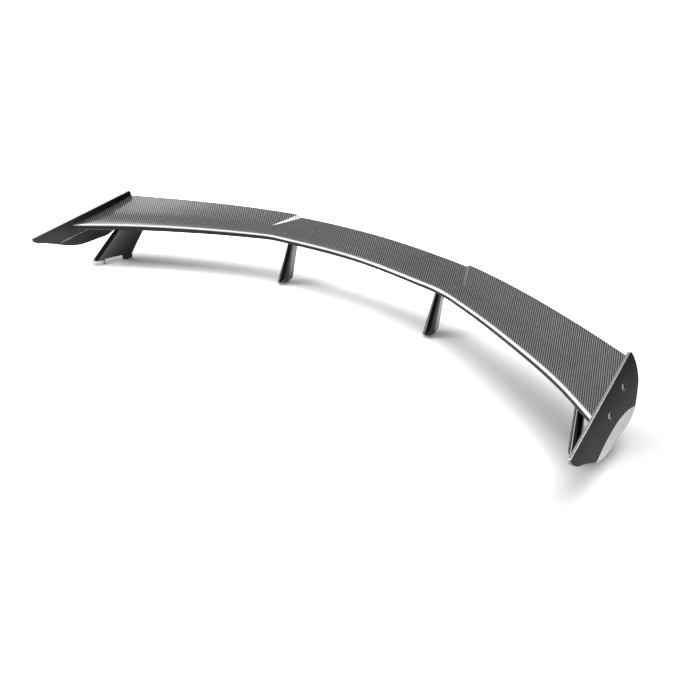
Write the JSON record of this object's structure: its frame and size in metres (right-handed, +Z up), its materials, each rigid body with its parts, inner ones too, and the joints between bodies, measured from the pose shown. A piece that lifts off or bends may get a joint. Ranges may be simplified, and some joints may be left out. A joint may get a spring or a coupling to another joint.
{
  "type": "racing rear wing",
  "caption": "Wide, bowed rear wing for a car: a glossy carbon blade with a raised step near each third, leaning folded end plates, and swept gloss black struts with feet and threaded studs.",
  "frame": {"origin": "on the plane that the outer studs' tips stand on, under the middle of the outline", "axes": "+X along the span to the right-hand end plate, +Y rearwards from the leading to the trailing edge, +Z up"},
  "size_m": [1.5978, 0.5282, 0.1808],
  "materials": {
    "carbon": "fine twill carbon laminate under a clear gloss coat",
    "gloss_black": "deep gloss black",
    "foam": "cream structural foam, matt",
    "aluminium": "milled",
    "steel": "zinc plated",
    "black_steel": "black oxide, satin",
    "rubber": "matt black"
  },
  "bodies": {
    "root": {"centre_insert_left": "steel", "centre_insert_right": "steel", "core_centre": "foam", "core_outer_left": "foam", "core_outer_right": "foam", "core_tip_left": "foam", "core_tip_right": "foam", "dished_washer_front_left": "black_steel", "dished_washer_front_right": "black_steel", "dished_washer_rear_left": "black_steel", "dished_washer_rear_right": "black_steel", "end_plate_left": "carbon", "end_plate_right": "carbon", "end_rib_left": "aluminium", "end_rib_right": "aluminium", "foot_pad_centre_left": "rubber", "foot_pad_centre_right": "rubber", "foot_pad_front_left": "rubber", "foot_pad_front_right": "rubber", "foot_pad_rear_left": "rubber", "foot_pad_rear_right": "rubber", "front_spar": "carbon", "hardpoint_centre_left": "aluminium", "hardpoint_centre_right": "aluminium", "hardpoint_outer_left": "aluminium", "hardpoint_outer_right": "aluminium", "joint_stud_centre_front_left": "steel", "joint_stud_centre_front_right": "steel", "joint_stud_centre_rear_left": "steel", "joint_stud_centre_rear_right": "steel", "joint_stud_outer_front_left": "steel", "joint_stud_outer_front_right": "steel", "joint_stud_outer_rear_left": "steel", "joint_stud_outer_rear_right": "steel", "lower_skin": "carbon", "mount_stud_front_left": "steel", "mount_stud_front_right": "steel", "mount_stud_rear_left": "steel", "mount_stud_rear_right": "steel", "nose_core": "foam", "plate_screw_front_left": "steel", "plate_screw_front_right": "steel", "plate_screw_rear_left": "steel", "plate_screw_rear_right": "steel", "rear_spar": "carbon", "strut_centre_left": "gloss_black", "strut_centre_right": "gloss_black", "strut_outer_left": "gloss_black", "strut_outer_right": "gloss_black", "tail_core_centre": "foam", "tail_core_left": "foam", "tail_core_right": "foam", "upper_skin": "carbon"}
  },
  "joints": []
}
